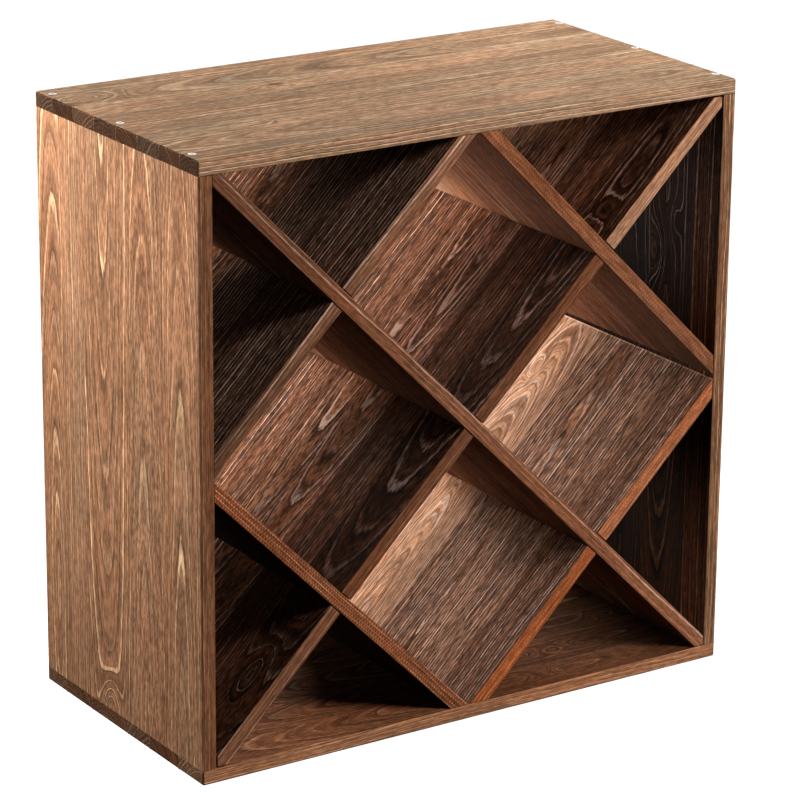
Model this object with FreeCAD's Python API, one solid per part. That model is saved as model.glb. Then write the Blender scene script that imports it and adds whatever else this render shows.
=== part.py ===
import FreeCAD, Part
import math
import os

# An open wine cube: four edge-glued boards screwed into a box, with six cross-lapped boards set
# diagonally inside it to make the bottle cells. X is the width, +Y the back, +Z up. The origin is
# the middle of the underside. All sizes are in millimetres.

# Box
cabinet_width = 600.0
cabinet_height = 600.0
cabinet_depth = 304.0
carcass_thickness = 14.5
edge_rounding = 2.0

# Stave widths across each glued board, from the back edge to the front edge, as shares of the depth
top_stave_shares = (0.112, 0.132, 0.132, 0.138, 0.126, 0.133, 0.122, 0.105)
bottom_stave_shares = (0.13, 0.17, 0.23, 0.14, 0.18, 0.15)
left_stave_shares = (0.14, 0.15, 0.28, 0.21, 0.22)
right_stave_shares = (0.21, 0.18, 0.25, 0.23, 0.13)

# Lattice
lattice_thickness = 14.5
lattice_setback = 0.5
slot_clearance = 0.6
half_board_gap = 2.5
tight_end_gap = 0.3
loose_end_gap = 1.5

# Countersunk screws. Each line of three stands over a side board, at a share of its thickness from the
# outer face, and the rows lie at shares of the depth from the front, clear of the glue lines.
screw_length = 40.0
screw_shank_diameter = 4.0
screw_head_overhang = 2.0
screw_head_rim = 0.4
screw_head_sink = 0.2
screw_point_length = 6.0
screw_clearance = 0.1
screw_row_shares = (0.084, 0.512, 0.939)
left_screw_line_share = 0.62
right_screw_line_share = 0.38
recess_arm_width = 1.1
recess_arm_span = 4.6
recess_depth = 1.6

# Cuts run this far past the faces that they open
cut_overrun = 5.0

# Derived places
half_width = cabinet_width / 2
half_depth = cabinet_depth / 2
top_underside = cabinet_height - carcass_thickness
inner_half_width = half_width - carcass_thickness
inner_half_height = cabinet_height / 2 - carcass_thickness
lattice_centre_height = cabinet_height / 2
strip_reach = cabinet_width + cabinet_height
screw_head_radius = screw_shank_diameter / 2 + screw_head_overhang

nodes = {}


def block(low, high):
    """A box between two opposite corners."""
    size = FreeCAD.Vector(*high) - FreeCAD.Vector(*low)
    return Part.makeBox(size.x, size.y, size.z, FreeCAD.Vector(*low))


def rounded(board, wanted):
    """The board with its wanted edges eased to the touch."""
    return board.makeFillet(edge_rounding, [edge for edge in board.Edges if wanted(edge)])


# Screws


def screw_body(clearance, head_top):
    """A countersunk wood screw, point down, with the head's face at the origin. With a clearance, and
    its top carried on up to the board's face, it is the hole that the screw goes into."""
    head = screw_head_radius + clearance
    shank = screw_shank_diameter / 2 + clearance
    rim = -screw_head_rim - clearance
    shoulder = rim - screw_head_overhang
    point = -screw_length + screw_point_length
    tip = -screw_length - clearance
    outline = ((0, head_top), (head, head_top), (head, rim), (shank, shoulder), (shank, point), (0, tip))
    profile = [FreeCAD.Vector(radius, 0, height) for radius, height in outline]
    face = Part.Face(Part.makePolygon(profile + profile[:1]))
    return face.revolve(FreeCAD.Vector(0, 0, 0), FreeCAD.Vector(0, 0, 1), 360)


def recessed_screw():
    """The screw with the cross recess for its driver."""
    screw = screw_body(0, 0)
    for span, width in ((recess_arm_span, recess_arm_width), (recess_arm_width, recess_arm_span)):
        arm = block((-span / 2, -width / 2, -recess_depth), (span / 2, width / 2, cut_overrun))
        screw = screw.cut(arm)
    return screw


def screw_places():
    """Where each screw's head lies on its board, as (group, x, y)."""
    lines = {
        "left": -half_width + carcass_thickness * left_screw_line_share,
        "right": half_width - carcass_thickness * right_screw_line_share,
    }
    rows = [cabinet_depth * share - half_depth for share in screw_row_shares]
    return [(side, x, y) for side, x in lines.items() for y in rows]


def set_in_board(shape, x, y, in_top):
    """A screw or its hole, moved from the origin to its place in the top or the bottom board."""
    placed = shape.copy()
    if not in_top:
        placed.rotate(FreeCAD.Vector(0, 0, 0), FreeCAD.Vector(1, 0, 0), 180)
    head_height = cabinet_height - screw_head_sink if in_top else screw_head_sink
    placed.translate(FreeCAD.Vector(x, y, head_height))
    return placed


hole = screw_body(screw_clearance, screw_head_sink)
screw_holes = [
    set_in_board(hole, x, y, in_top) for in_top in (True, False) for side, x, y in screw_places()
]

screw = recessed_screw()
for board_name, in_top in (("top", True), ("bottom", False)):
    for side in ("left", "right"):
        row = [set_in_board(screw, x, y, in_top) for group, x, y in screw_places() if group == side]
        nodes[f"{board_name}_screws_{side}"] = Part.makeCompound(row)


# Carcass boards, each sawn into the staves that it is glued up from


def add_staves(name, board, shares):
    """Adds one node for each stave of a glued board, numbered from the back."""
    drilled = board.cut(screw_holes)
    back_edge = half_depth
    for number, share in enumerate(shares, 1):
        front_edge = back_edge - cabinet_depth * share / sum(shares)
        slab = block((-half_width, front_edge, 0), (half_width, back_edge, cabinet_height))
        nodes[f"{name}_stave_{number}"] = drilled.common(slab)
        back_edge = front_edge


def top_board():
    board = block((-half_width, -half_depth, top_underside), (half_width, half_depth, cabinet_height))
    return rounded(board, lambda edge: edge.BoundBox.ZMax > top_underside + edge_rounding)


def bottom_board():
    board = block((-half_width, -half_depth, 0), (half_width, half_depth, carcass_thickness))
    return rounded(board, lambda edge: edge.BoundBox.ZMin < carcass_thickness - edge_rounding)


def side_board(outer_x, inner_x):
    low_x = min(outer_x, inner_x)
    high_x = max(outer_x, inner_x)
    board = block((low_x, -half_depth, carcass_thickness), (high_x, half_depth, top_underside))

    def upright_and_outside(edge):
        upright = edge.BoundBox.ZLength > edge.BoundBox.YLength + edge.BoundBox.XLength
        return upright and abs(edge.CenterOfMass.x) > half_width - edge_rounding

    return rounded(board, upright_and_outside)


add_staves("top", top_board(), top_stave_shares)
add_staves("bottom", bottom_board(), bottom_stave_shares)
add_staves("left_side", side_board(-half_width, -inner_half_width), left_stave_shares)
add_staves("right_side", side_board(half_width, inner_half_width), right_stave_shares)


# Lattice boards. A rising board runs from lower left to upper right, a falling one from upper left to
# lower right. Each lies at an offset from the middle of the cabinet, square to its length.

diagonal = math.hypot(inner_half_width, inner_half_height)
rising_way = FreeCAD.Vector(inner_half_width, 0, inner_half_height) / diagonal
falling_way = FreeCAD.Vector(inner_half_width, 0, -inner_half_height) / diagonal
middle = FreeCAD.Vector(0, 0, lattice_centre_height)

# The inner face of a half board ends beside the middle of each panel, half a gap away from it
panel_middle_offset = inner_half_width * inner_half_height / diagonal
half_gap_offset = half_board_gap / 2 * max(inner_half_width, inner_half_height) / diagonal
half_board_offset = panel_middle_offset + half_gap_offset + lattice_thickness / 2


def strip(way, offset, thickness, front, back):
    """A long straight strip of this thickness, running the given way, from the front to the back."""
    square = FreeCAD.Vector(-way.z, 0, way.x)
    corners = []
    for along, across in ((-1, -1), (1, -1), (1, 1), (-1, 1)):
        corner = middle + way * (along * strip_reach) + square * (offset + across * thickness / 2)
        corners.append(FreeCAD.Vector(corner.x, front, corner.z))
    face = Part.Face(Part.makePolygon(corners + corners[:1]))
    return face.extrude(FreeCAD.Vector(0, back - front, 0))


def lattice_board(way, offset, end_gap):
    """A board cut off along the panels that it stands against."""
    front = -half_depth + lattice_setback
    back = half_depth - lattice_setback
    low = (-inner_half_width + end_gap, front, carcass_thickness + end_gap)
    high = (inner_half_width - end_gap, back, top_underside - end_gap)
    return strip(way, offset, lattice_thickness, front, back).common(block(low, high))


def slot_for(way, offset, front, back):
    """The slot that lets a crossing board through."""
    return strip(way, offset, lattice_thickness + slot_clearance * 2, front, back)


rising_boards = {
    "rising_board_main": (0, loose_end_gap),
    "rising_board_upper_left": (half_board_offset, tight_end_gap),
    "rising_board_lower_right": (-half_board_offset, tight_end_gap),
}
falling_boards = {
    "falling_board_main": (0, tight_end_gap),
    "falling_board_upper_right": (half_board_offset, tight_end_gap),
    "falling_board_lower_left": (-half_board_offset, tight_end_gap),
}
crossings = [("rising_board_main", falling) for falling in falling_boards]
crossings += [(rising, "falling_board_main") for rising in rising_boards if rising != "rising_board_main"]

# Rising boards are slotted from the front and falling boards from the back, to half the depth
slot_front = -half_depth - cut_overrun
slot_back = half_depth + cut_overrun
slot_end_gap = slot_clearance / 2

for name, (offset, end_gap) in rising_boards.items():
    board = lattice_board(rising_way, offset, end_gap)
    for rising, falling in crossings:
        if rising == name:
            board = board.cut(slot_for(falling_way, falling_boards[falling][0], slot_front, slot_end_gap))
    nodes[name] = board

for name, (offset, end_gap) in falling_boards.items():
    board = lattice_board(falling_way, offset, end_gap)
    for rising, falling in crossings:
        if falling == name:
            board = board.cut(slot_for(rising_way, rising_boards[rising][0], -slot_end_gap, slot_back))
    nodes[name] = board


os.makedirs("parts", exist_ok=True)
for name, shape in nodes.items():
    shape.exportStep(f"parts/{name}.step")
    print(name, len(shape.Solids), "solids", round(shape.Volume), "mm3", shape.isValid())
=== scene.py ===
# %% [markdown]
# # A wine cube in brushed, dark-stained pine
#
# The cube is a box of four edge-glued pine boards, screwed together at the corners, with six more
# boards slotted into one another inside it as a diagonal lattice. The lattice makes the cells that
# hold the bottles. This script dresses the imported CAD model: it keeps every size and adds the stain,
# the figure of the grain, the worn edges and the zinc screws.
#
# The frame is loaded first, and its box is kept.

# %% Load the frame
import functools
import math
import bmesh
import bpy
import numpy as np
from mathutils import Matrix, Vector, noise


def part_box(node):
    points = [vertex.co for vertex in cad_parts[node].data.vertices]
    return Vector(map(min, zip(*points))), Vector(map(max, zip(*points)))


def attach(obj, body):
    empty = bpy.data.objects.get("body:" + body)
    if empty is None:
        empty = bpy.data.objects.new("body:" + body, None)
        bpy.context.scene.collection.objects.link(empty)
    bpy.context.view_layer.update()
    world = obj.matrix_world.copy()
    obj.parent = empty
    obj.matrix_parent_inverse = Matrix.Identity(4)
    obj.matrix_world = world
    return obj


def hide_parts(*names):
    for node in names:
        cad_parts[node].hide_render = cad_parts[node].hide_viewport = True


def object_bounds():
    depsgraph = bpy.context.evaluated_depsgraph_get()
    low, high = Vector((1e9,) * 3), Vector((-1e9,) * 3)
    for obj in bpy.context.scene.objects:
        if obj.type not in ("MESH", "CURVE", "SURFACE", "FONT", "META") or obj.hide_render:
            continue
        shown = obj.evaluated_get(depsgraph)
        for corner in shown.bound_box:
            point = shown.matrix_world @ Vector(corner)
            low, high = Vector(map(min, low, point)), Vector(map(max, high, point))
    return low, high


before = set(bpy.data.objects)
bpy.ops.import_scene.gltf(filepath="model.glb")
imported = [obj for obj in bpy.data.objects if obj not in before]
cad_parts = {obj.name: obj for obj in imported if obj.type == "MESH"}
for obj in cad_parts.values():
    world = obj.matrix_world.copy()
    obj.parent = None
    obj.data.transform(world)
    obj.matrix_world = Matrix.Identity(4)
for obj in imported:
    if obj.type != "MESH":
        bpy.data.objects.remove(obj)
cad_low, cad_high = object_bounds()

MM = 0.001
cabinet_size = Vector(cad_high) - Vector(cad_low)
cabinet_middle = Vector((0.0, 0.0, cabinet_size.z / 2))
print("cabinet", [round(side, 4) for side in cabinet_size])

# %% [markdown]
# ## Camera
#
# A camera could be placed by eye, but the cube has straight edges and seven corners in view, and
# lines that run back into the picture fix the viewpoint. The values below came from matching those
# corners: a long lens, a good three metres away, a little above the top and to the left of the front.

# %% Camera
CAMERA_AZIMUTH = math.radians(-33.46)
CAMERA_ELEVATION = math.radians(18.49)
CAMERA_ROLL = math.radians(0.551)
CAMERA_DISTANCE = 3.644
CAMERA_TARGET = Vector((0.0156, 0.0, 0.2802))
CAMERA_LENS = 166.96
SENSOR_WIDTH = 36.0

towards_camera = Vector((
    math.sin(CAMERA_AZIMUTH) * math.cos(CAMERA_ELEVATION),
    -math.cos(CAMERA_AZIMUTH) * math.cos(CAMERA_ELEVATION),
    math.sin(CAMERA_ELEVATION),
))
camera_turn = towards_camera.to_track_quat("Z", "Y").to_matrix() @ Matrix.Rotation(CAMERA_ROLL, 3, "Z")
camera_data = bpy.data.cameras.new("camera")
camera_data.lens = CAMERA_LENS
camera_data.sensor_width = SENSOR_WIDTH
camera = bpy.data.objects.new("camera", camera_data)
camera_place = CAMERA_TARGET + towards_camera * CAMERA_DISTANCE
camera.matrix_world = Matrix.Translation(camera_place) @ camera_turn.to_4x4()
bpy.context.scene.collection.objects.link(camera)
bpy.context.scene.camera = camera
print("camera at", [round(value, 3) for value in camera.matrix_world.translation])

# %% [markdown]
# ## A desk for node trees
#
# Materials and Geometry Nodes are both node trees. Writing out every link by hand hides the idea
# behind it, so this small class adds a node, feeds its inputs with numbers or with other nodes'
# outputs, and gives back what comes out. A material then reads almost like a sum.

# %% Node desk


class NodeDesk:
    """Adds nodes to a tree and feeds them, with numbers or with the outputs of other nodes."""

    def __init__(self, tree):
        self.tree = tree

    def node(self, kind, inputs=None, **settings):
        made = self.tree.nodes.new(kind)
        for name, value in settings.items():
            setattr(made, name, value)
        for key, value in (inputs or {}).items():
            self.feed(made.inputs[key], value)
        return made

    def feed(self, socket, value):
        if isinstance(value, bpy.types.NodeSocket):
            self.tree.links.new(value, socket)
        else:
            socket.default_value = value

    def sum(self, operation, *values):
        return self.node("ShaderNodeMath", dict(enumerate(values)), operation=operation).outputs[0]

    def vector(self, operation, *values):
        return self.node("ShaderNodeVectorMath", dict(enumerate(values)), operation=operation).outputs[0]

    def join(self, x, y, z):
        return self.node("ShaderNodeCombineXYZ", {0: x, 1: y, 2: z}).outputs[0]

    def split(self, vector):
        return self.node("ShaderNodeSeparateXYZ", {0: vector}).outputs

    def ramp(self, value, start, end, low=0.0, high=1.0):
        """A smooth step from low to high while the value goes from start to end."""
        inputs = {"Value": value, "From Min": start, "From Max": end, "To Min": low, "To Max": high}
        return self.node("ShaderNodeMapRange", inputs, interpolation_type="SMOOTHSTEP").outputs[0]

    def attribute(self, name):
        """A mesh attribute's vector."""
        return self.node("ShaderNodeAttribute", attribute_name=name).outputs["Vector"]

    def noise(self, place, stretch, detail=2.0, roughness=0.5):
        """Noise with this many waves per metre along each direction. Gives (value, colour)."""
        stretched = self.vector("MULTIPLY", place, stretch)
        inputs = {"Vector": stretched, "Scale": 1.0, "Detail": detail, "Roughness": roughness}
        made = self.node("ShaderNodeTexNoise", inputs)
        return made.outputs["Fac"], made.outputs["Color"]

    def mix(self, share, first, second, blend="MIX"):
        made = self.node("ShaderNodeMix", data_type="RGBA", blend_type=blend, clamp_factor=False)
        self.feed(made.inputs[0], share)
        self.feed(made.inputs[6], first)
        self.feed(made.inputs[7], second)
        return made.outputs[2]


def new_material(name):
    """An empty material, a desk for its nodes and the inputs of its surface."""
    material = bpy.data.materials.new(name)
    material.use_nodes = True
    tree = material.node_tree
    return material, NodeDesk(tree), tree.nodes["Principled BSDF"].inputs


print("node desk ready")

# %% [markdown]
# ## Floor and studio light
#
# The cube stands on a pale floor in a white studio. The light comes mostly from behind, from above
# and from the left, so it shines through the open back into the cells, and a softer light in front
# picks out the front edges. One lamp could not do all of that. A world with three bright patches gives
# the wide soft part, and five round lamps the rest. The floor glows a little, so that it looks white
# without a strong light on it.

# %% Floor, world and lights
FLOOR_HALF_WIDTH = 14.0
FLOOR_COLOUR = (0.3, 0.3, 0.3, 1.0)
FLOOR_GLOW = 0.93
FLOOR_ROUGHNESS = 0.9
WHITE = (1.0, 1.0, 1.0)
WORLD_COLOUR = (1.0, 0.985, 0.97, 1.0)
# Each bright patch of the world: its direction, how near to it the glow starts and is full, its strength
WORLD_PATCHES = (
    ((-1.0, 1.0, 0.5), 0.5, 0.95, 0.8),
    ((0.52, 0.79, 0.32), 0.9, 0.99, 1.3),
    ((1.0, 0.0, 0.3), 0.4, 0.95, 0.2),
)
# Each lamp: its name, place, aim, width, power, colour and spread in degrees
LAMPS = (
    ("lamp_behind_left", (-0.755, 0.5, 0.9), (-0.2, 0.05, 0.45), 0.4, 13.0, (1.0, 0.96, 0.92), 180),
    ("lamp_left", (-0.9, 0.2, 1.0), (-0.3, 0.1, 0.45), 0.35, 5.7, WHITE, 180),
    ("lamp_over_right", (0.3, 0.12, 0.98), (0.3, 0.1, 0.6), 0.3, 3.1, WHITE, 180),
    ("lamp_behind_low", (0.08, 0.8, 0.38), (0.1, 0.0, 0.15), 0.3, 2.7, (1.0, 0.97, 0.92), 80),
    ("front_light", (1.1, -2.6, 2.3), (0.0, 0.0, 0.3), 1.0, 106.0, (1.0, 0.98, 0.97), 180),
)


def floor_material():
    material, _, surface = new_material("pale_floor")
    surface["Base Color"].default_value = FLOOR_COLOUR
    surface["Roughness"].default_value = FLOOR_ROUGHNESS
    surface["Emission Color"].default_value = (*WHITE, 1.0)
    surface["Emission Strength"].default_value = FLOOR_GLOW
    return material


def pale_floor():
    half = FLOOR_HALF_WIDTH
    mesh = bpy.data.meshes.new("floor")
    corners = [(-half, -half, 0), (half, -half, 0), (half, half, 0), (-half, half, 0)]
    mesh.from_pydata(corners, [], [(0, 1, 2, 3)])
    mesh.materials.append(floor_material())
    floor = bpy.data.objects.new("floor", mesh)
    bpy.context.scene.collection.objects.link(floor)
    floor.visible_diffuse = False
    floor.visible_glossy = False


def studio_world():
    world = bpy.data.worlds.new("studio")
    world.use_nodes = True
    desk = NodeDesk(world.node_tree)
    direction = desk.node("ShaderNodeTexCoord").outputs["Generated"]
    strength = 0.0
    for side, start, end, brightness in WORLD_PATCHES:
        inputs = {0: direction, 1: Vector(side).normalized()}
        nearness = desk.node("ShaderNodeVectorMath", inputs, operation="DOT_PRODUCT").outputs["Value"]
        strength = desk.sum("ADD", strength, desk.ramp(nearness, start, end, 0.0, brightness))
    sky = world.node_tree.nodes["Background"].inputs
    desk.feed(sky["Strength"], strength)
    desk.feed(sky["Color"], WORLD_COLOUR)
    bpy.context.scene.world = world


def soft_light(name, place, aim, size, power, colour, spread):
    data = bpy.data.lights.new(name, "AREA")
    data.spread = math.radians(spread)
    data.shape = "DISK"
    data.size = size
    data.energy = power
    data.color = colour
    light = bpy.data.objects.new(name, data)
    light.visible_camera = False
    towards = Vector(place) - Vector(aim)
    turn = towards.to_track_quat("Z", "Y").to_matrix().to_4x4()
    light.matrix_world = Matrix.Translation(place) @ turn
    bpy.context.scene.collection.objects.link(light)


pale_floor()
studio_world()
for lamp in LAMPS:
    soft_light(*lamp)
bpy.context.scene.view_settings.view_transform = "Standard"
print("floor, world and", len(LAMPS), "lamps")

# %% [markdown]
# ## Stained pine
#
# Pine shows light, hard latewood lines between softer, darker earlywood. Here the boards were brushed,
# which wears the soft wood down, and stained, which darkens it more than the hard lines. An image
# could show this on one face only. Instead the material works out the growth rings in the solid wood:
# each stave has a pith, and a point's ring is its distance from that pith. A pith that runs at a slant
# to the face draws the pointed arches seen on flat-sawn boards, and a swelling in the rings makes a
# knot. Edges and end grain get a pith of their own, because a saw cuts the rings another way there.
#
# The mesh carries what differs from stave to stave as attributes: `grain_place` is a point's place
# along the grain, across the board and below its show face, and the others hold the pith, the knots,
# the tone with painted light and shade worked into it, and the kind of surface.

# %% Growth rings
WANDER = 14.0 * MM
WOBBLE = 1.2
TEAR = 0.6
KNOT_STRETCH = 2.2
KNOT_SWELL = 1.6
SMALLEST_KNOT = 0.01 * MM
HEART_NEARNESS = (0.82, 0.97)


def knot_swell(desk, name, along, across):
    """How near each point is to a knot, from 0 to 1, and the knot's size."""
    knot_along, knot_across, knot_size = desk.split(desk.attribute(name))
    size = desk.sum("MAXIMUM", knot_size, SMALLEST_KNOT)
    gap_along = desk.sum("DIVIDE", desk.sum("SUBTRACT", along, knot_along), size)
    gap_along = desk.sum("DIVIDE", gap_along, KNOT_STRETCH)
    gap_across = desk.sum("DIVIDE", desk.sum("SUBTRACT", across, knot_across), size)
    gap = desk.sum("ADD", desk.sum("POWER", gap_along, 2.0), desk.sum("POWER", gap_across, 2.0))
    return desk.sum("EXPONENT", desk.sum("MULTIPLY", gap, -1.0)), size


def ring_field(desk, place, seed_place, ragged):
    """Counts the growth rings outwards from the stave's pith. Gives the count and the knot's heart."""
    along, across, below = desk.split(place)
    pith_across, pith_below, ring_width = desk.split(desk.attribute("stave_pith"))
    crown, lean, _ = desk.split(desk.attribute("stave_path_and_painted_light"))
    wander = desk.split(desk.noise(seed_place, (3.2, 9.0, 9.0))[1])
    wobble = desk.noise(seed_place, (22.0, 75.0, 75.0), 3.0)[0]
    tear = desk.noise(seed_place, (120.0, 380.0, 380.0))[0]
    from_crown = desk.sum("SUBTRACT", along, crown)
    aside = desk.sum("SUBTRACT", across, pith_across)
    aside = desk.sum("MULTIPLY_ADD", desk.sum("SUBTRACT", wander[0], 0.5), WANDER, aside)
    depth = desk.sum("SUBTRACT", pith_below, below)
    depth = desk.sum("MULTIPLY_ADD", desk.sum("SUBTRACT", wander[1], 0.5), WANDER, depth)
    from_pith = desk.join(desk.sum("MULTIPLY", from_crown, lean), aside, depth)
    radius = desk.node("ShaderNodeVectorMath", {0: from_pith}, operation="LENGTH").outputs["Value"]
    for name in ("stave_eye", "stave_knot"):
        swell, size = knot_swell(desk, name, along, across)
        radius = desk.sum("MULTIPLY_ADD", desk.sum("MULTIPLY", swell, size), KNOT_SWELL, radius)
    # The knot comes last, and only a knot has a heart
    heart = desk.ramp(swell, *HEART_NEARNESS)
    rings = desk.sum("DIVIDE", radius, ring_width)
    for unevenness, share in ((wobble, WOBBLE), (tear, TEAR)):
        offset = desk.sum("MULTIPLY", desk.sum("SUBTRACT", unevenness, 0.5), share)
        rings = desk.sum("MULTIPLY_ADD", offset, ragged, rings)
    return rings, heart


print("growth rings ready")

# %% Latewood lines
STREAK_WAVES = 14.0
STREAKS_PER_RING = 2.6
NARROWEST_LINE = 0.55
LINE_SPREAD = 0.9
LINE_RISE = 0.12
LINE_FALL_START = 0.94
FAINTEST_LINE = 0.15
GROOVE_WIDTH = 0.3


def latewood_lines(desk, rings, along, seed, line_share, ragged):
    """The light line at the end of each ring, and the streaks that follow the rings between the lines."""
    ring_share = desk.sum("FRACT", rings)
    ring_seed = desk.sum("ADD", desk.sum("FLOOR", rings), seed)
    chance = desk.node("ShaderNodeTexWhiteNoise", {"W": ring_seed}, noise_dimensions="1D").outputs["Color"]
    width_chance, strength_chance, _ = desk.split(chance)
    width = desk.sum("MULTIPLY_ADD", width_chance, LINE_SPREAD, NARROWEST_LINE)
    start = desk.sum("SUBTRACT", 1.0, desk.sum("MULTIPLY", line_share, width))
    rising = desk.ramp(ring_share, start, desk.sum("ADD", start, LINE_RISE))
    falling = desk.ramp(ring_share, LINE_FALL_START, 1.0, 1.0, 0.0)
    strength = desk.ramp(strength_chance, 0.0, 1.0, FAINTEST_LINE, 1.0)
    line = desk.sum("MULTIPLY", desk.sum("MULTIPLY", rising, falling), strength)
    streak_place = desk.join(
        desk.sum("MULTIPLY", along, STREAK_WAVES), desk.sum("MULTIPLY", rings, STREAKS_PER_RING), seed
    )
    streak = desk.noise(streak_place, (1.0, 1.0, 1.0), 3.0, 0.6)[0]
    line = desk.sum("MULTIPLY", line, desk.ramp(streak, 0.3, 0.5, desk.sum("SUBTRACT", 1.0, ragged), 1.0))
    # The groove after each line is darker from deep stain, with a painted shadow in the brushed-out earlywood
    groove = desk.ramp(ring_share, 0.0, GROOVE_WIDTH, 1.0, 0.0)
    return line, streak, groove


print("latewood lines ready")

# %% Stained pine
PORE_WAVES = 95.0
PORES_PER_RING = 2.4
SAW_PITCH = 3.8 * MM
SAW_ROWS = 7.2 * MM
SAW_SLANT = 0.2
RED_SHIFT = (0.16, -0.05, -0.2)
PALEST_WOOD = (0.82, 0.57, 0.43)
# How much lighter or darker each mark makes the wood
SAW_LIGHT = 0.5
# The groove's darkening is partly deep stain and partly painted shadow
GROOVE_LIGHT = -0.5
END_LIGHT = -0.7
HEART_LIGHT = -0.6
CLOUD_LIGHT = 0.12
MOST_WEAR = 0.3
MOST_BLUSH = 0.25
PINE_ROUGHNESS = 0.75
PORE_ROUGHNESS = 0.2
PINE_IOR = 1.46
PINE_SPECULAR = 0.04
# How far each mark stands out of the wood, as a share of a latewood line's height
STREAK_RELIEF = 0.6
PORE_RELIEF = 0.35
GROOVE_RELIEF = -0.35
SAW_RELIEF = 0.35
BUMP_HEIGHT = 0.35 * MM
BUMP_STRENGTH = 0.7


def stained_pine(name, early_colour, late_colour, worn_colour, latewood_gloss):
    """Brushed and stained pine: dark earlywood, lighter raised latewood and paler wear on the arrises."""
    material, desk, surface = new_material(name)
    place = desk.attribute("grain_place")
    seed = desk.attribute("stave_seed")
    seed_place = desk.vector("ADD", place, seed)
    along, _, below = desk.split(place)
    light, red, figure = desk.split(desk.attribute("stave_tone_and_painted_light"))
    line_share, ragged, speckle = desk.split(desk.attribute("stave_line"))
    fade = desk.split(desk.attribute("stave_path_and_painted_light"))[2]
    end_grain, arris, sawn = desk.split(desk.attribute("surface_kind"))

    def mark(value, strength, start=0.36, end=0.64):
        """A factor round 1 that goes this far up and down with the value."""
        return desk.sum("MULTIPLY_ADD", desk.ramp(value, start, end, -1.0, 1.0), strength, 1.0)

    rings, heart = ring_field(desk, place, seed_place, ragged)
    line, streak, groove = latewood_lines(desk, rings, along, desk.split(seed)[0], line_share, ragged)
    latewood = desk.sum("MULTIPLY", line, figure)
    groove = desk.sum("MULTIPLY", groove, figure)
    ring_width = desk.split(desk.attribute("stave_pith"))[2]
    pores_across = desk.sum("DIVIDE", PORES_PER_RING, ring_width)
    pore = desk.noise(seed_place, desk.join(PORE_WAVES, pores_across, pores_across), 2.0, 0.6)[0]
    cloud = desk.noise(seed_place, (6.0, 18.0, 18.0), 3.0)[0]
    blush = desk.noise(seed_place, (4.0, 26.0, 26.0), 2.0)[1]
    saw_wave = desk.sum("MULTIPLY_ADD", below, SAW_SLANT, desk.split(seed_place)[0])
    saw_wave = desk.sum("SINE", desk.sum("MULTIPLY", saw_wave, 2 * math.pi / SAW_PITCH))
    saw_row = desk.sum("SINE", desk.sum("MULTIPLY", below, 2 * math.pi / SAW_ROWS))
    saw_wave = desk.sum("MULTIPLY", desk.sum("MULTIPLY", saw_wave, saw_row), sawn)

    brightness = light
    for factor in (
        # Painted light: the wood gets lighter or darker along the grain, by a given share per metre
        desk.sum("MULTIPLY_ADD", fade, along, 1.0),
        mark(streak, ragged),
        mark(pore, speckle),
        mark(cloud, CLOUD_LIGHT, 0.25, 0.75),
        desk.sum("MULTIPLY_ADD", saw_wave, SAW_LIGHT, 1.0),
        desk.sum("MULTIPLY_ADD", groove, GROOVE_LIGHT, 1.0),
        desk.sum("MULTIPLY_ADD", end_grain, END_LIGHT, 1.0),
        desk.sum("MULTIPLY_ADD", heart, HEART_LIGHT, 1.0),
    ):
        brightness = desk.sum("MULTIPLY", brightness, factor)
    redness = desk.sum("ADD", red, desk.ramp(desk.split(blush)[2], 0.3, 0.7, -MOST_BLUSH, MOST_BLUSH))
    warmth = desk.join(*(desk.sum("MULTIPLY_ADD", redness, shift, 1.0) for shift in RED_SHIFT))
    wood = desk.mix(latewood, early_colour, late_colour)
    wood = desk.vector("MULTIPLY", wood, warmth)
    wood = desk.node("ShaderNodeVectorMath", {0: wood, "Scale": brightness}, operation="SCALE").outputs[0]
    wood = desk.vector("MINIMUM", wood, PALEST_WOOD)
    wear_chance = desk.noise(seed_place, (40.0, 200.0, 200.0), 3.0, 0.6)[0]
    wear = desk.sum("MULTIPLY", desk.ramp(wear_chance, 0.42, 0.75, 0.0, MOST_WEAR), arris)
    wear = desk.sum("MULTIPLY", wear, desk.sum("SUBTRACT", 1.0, end_grain))
    desk.feed(surface["Base Color"], desk.mix(wear, wood, worn_colour))

    roughness = desk.sum("MULTIPLY_ADD", latewood, -latewood_gloss, PINE_ROUGHNESS)
    desk.feed(surface["Roughness"], desk.sum("MULTIPLY_ADD", pore, PORE_ROUGHNESS, roughness))
    surface["IOR"].default_value = PINE_IOR
    surface["Specular IOR Level"].default_value = PINE_SPECULAR

    height = latewood
    for relief, share in (
        (streak, STREAK_RELIEF), (pore, PORE_RELIEF), (groove, GROOVE_RELIEF), (saw_wave, SAW_RELIEF),
    ):
        height = desk.sum("MULTIPLY_ADD", relief, share, height)
    bump = desk.node("ShaderNodeBump", {"Strength": BUMP_STRENGTH, "Distance": BUMP_HEIGHT, "Height": height})
    desk.feed(surface["Normal"], bump.outputs[0])
    return material


carcass_pine = stained_pine(
    "stained_pine_carcass",
    early_colour=(0.283, 0.125, 0.062, 1.0),
    late_colour=(0.69, 0.4, 0.21, 1.0),
    worn_colour=(0.5, 0.28, 0.15, 1.0),
    latewood_gloss=0.25,
)
lattice_pine = stained_pine(
    "stained_pine_lattice",
    early_colour=(0.142, 0.058, 0.028, 1.0),
    late_colour=(0.46, 0.31, 0.245, 1.0),
    worn_colour=(0.24, 0.12, 0.065, 1.0),
    latewood_gloss=0.35,
)
print("materials", carcass_pine.name, lattice_pine.name)

# %% [markdown]
# ## Staves
#
# No two staves of a glued board come from the same log, so each gets its own pith, ring width, tone
# and knots. They are chosen here board by board from the back edge to the front edge, to
# follow the figures of the real boards: pointed arches in one, straight lines in the next.
# Some tones also carry painted light and shade: slopes of light along the grain, lighter staves where light
# from behind falls, and darker ones in shade.

# %% One stave's figure
NO_KNOT = (0, 0, 0)


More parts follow.
